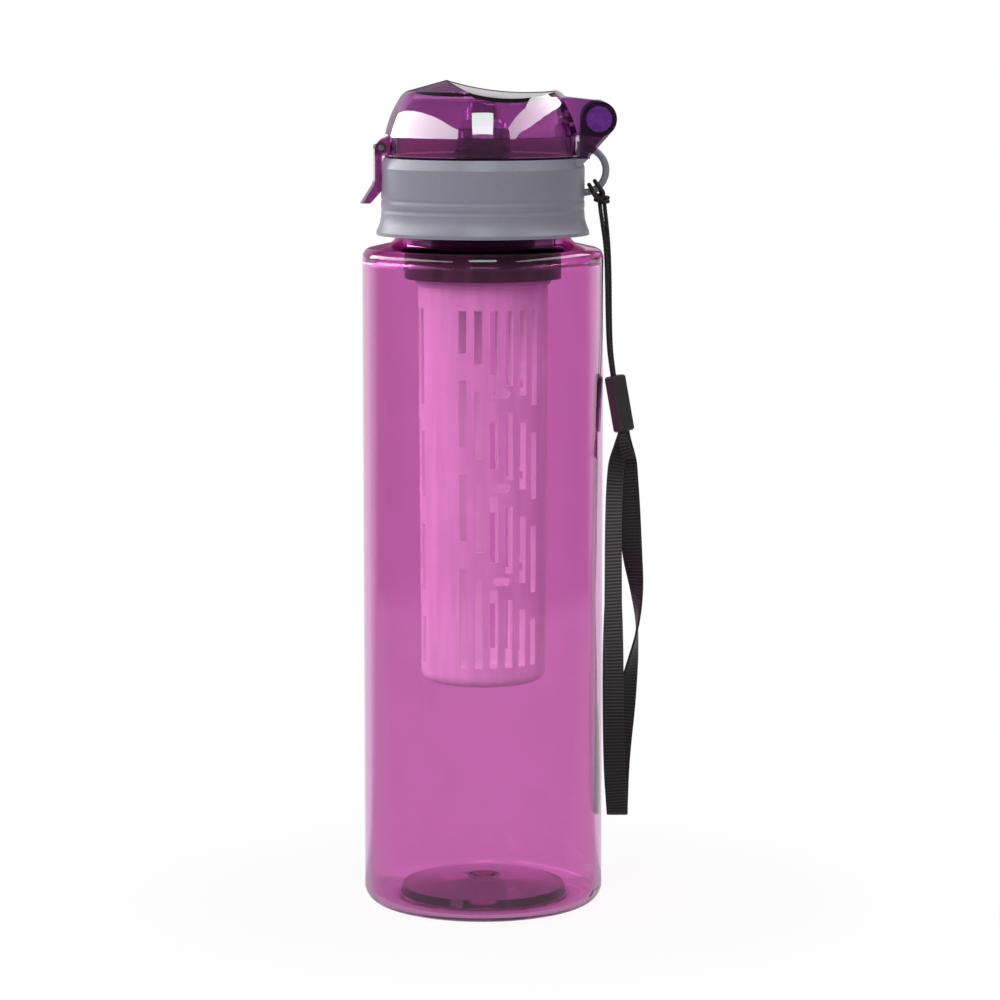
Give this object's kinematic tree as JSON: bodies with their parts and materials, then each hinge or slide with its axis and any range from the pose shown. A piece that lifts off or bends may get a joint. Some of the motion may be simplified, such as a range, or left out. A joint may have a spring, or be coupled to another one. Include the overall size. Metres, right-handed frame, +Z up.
{
  "type": "fruit infuser water bottle",
  "caption": "Clear tinted water bottle with a screw collar, latched flip lid over a drinking spout, hanging infuser basket and a wrist lanyard.",
  "frame": {"origin": "centre of the standing ring, on the plane that the bottle stands on", "axes": "+Z up along the bottle's axis, +X towards the lid's hinge, latch on -X"},
  "size_m": [0.085, 0.072, 0.2477],
  "materials": {
    "clear_purple": "clear copolyester tinted magenta purple, gloss",
    "satin_grey": "satin moulded polypropylene",
    "lid_purple": "clear plastic tinted deep purple, gloss",
    "pin_violet": "gloss moulded pin",
    "pin_steel": "drawn wire",
    "silicone": "translucent silicone, matt",
    "dark_plum": "dark plum moulded plastic",
    "frosted_pink": "frosted translucent plastic",
    "black_cord": "braided cord",
    "black_plastic": "satin moulded plastic",
    "black_ribbon": "ribbed grosgrain ribbon"
  },
  "bodies": {
    "bottle": {"bottle_body": "clear_purple"},
    "gasket": {"neck_gasket": "silicone"},
    "cap": {"screw_collar": "satin_grey", "lid_deck": "lid_purple", "deck_seal": "silicone", "hinge_pin": "pin_violet", "infuser_ring": "dark_plum"},
    "lid": {"flip_lid": "lid_purple", "spout_plug": "silicone", "latch_pin": "pin_steel"},
    "latch": {"lid_latch": "lid_purple"},
    "basket": {"infuser_basket": "frosted_pink"},
    "lanyard": {"lanyard_cord": "black_cord", "cord_bead": "black_plastic", "wrist_strap": "black_ribbon"}
  },
  "joints": [
    {"name": "cap_lift", "type": "slide", "parent": "bottle", "child": "gasket", "axis": [0, 0, 1], "range_m": [0, 0.00751]},
    {"name": "cap_unscrew", "type": "hinge", "parent": "gasket", "child": "cap", "pos_m": [0, 0, 0.2204], "axis": [0, 0, 1], "range_deg": [0, 450]},
    {"name": "lid_hinge", "type": "hinge", "parent": "cap", "child": "lid", "pos_m": [0.0342, 0, 0.2364], "axis": [0, 1, 0], "range_deg": [0, 130]},
    {"name": "latch_hinge", "type": "hinge", "parent": "lid", "child": "latch", "pos_m": [-0.0299, 0, 0.228], "axis": [0, 1, 0], "range_deg": [0, 75]},
    {"name": "basket_twist", "type": "hinge", "parent": "cap", "child": "basket", "pos_m": [0, 0, 0.1922], "axis": [0, 0, 1], "range_deg": [0, 60]},
    {"name": "lanyard_swing", "type": "hinge", "parent": "cap", "child": "lanyard", "pos_m": [0.03, 0, 0.221], "axis": [0, -1, 0], "range_deg": [0, 60]}
  ],
  "couplings": [
    {"joint": "cap_lift", "follows": "cap_unscrew", "m_per_rad": 0.00095493}
  ]
}
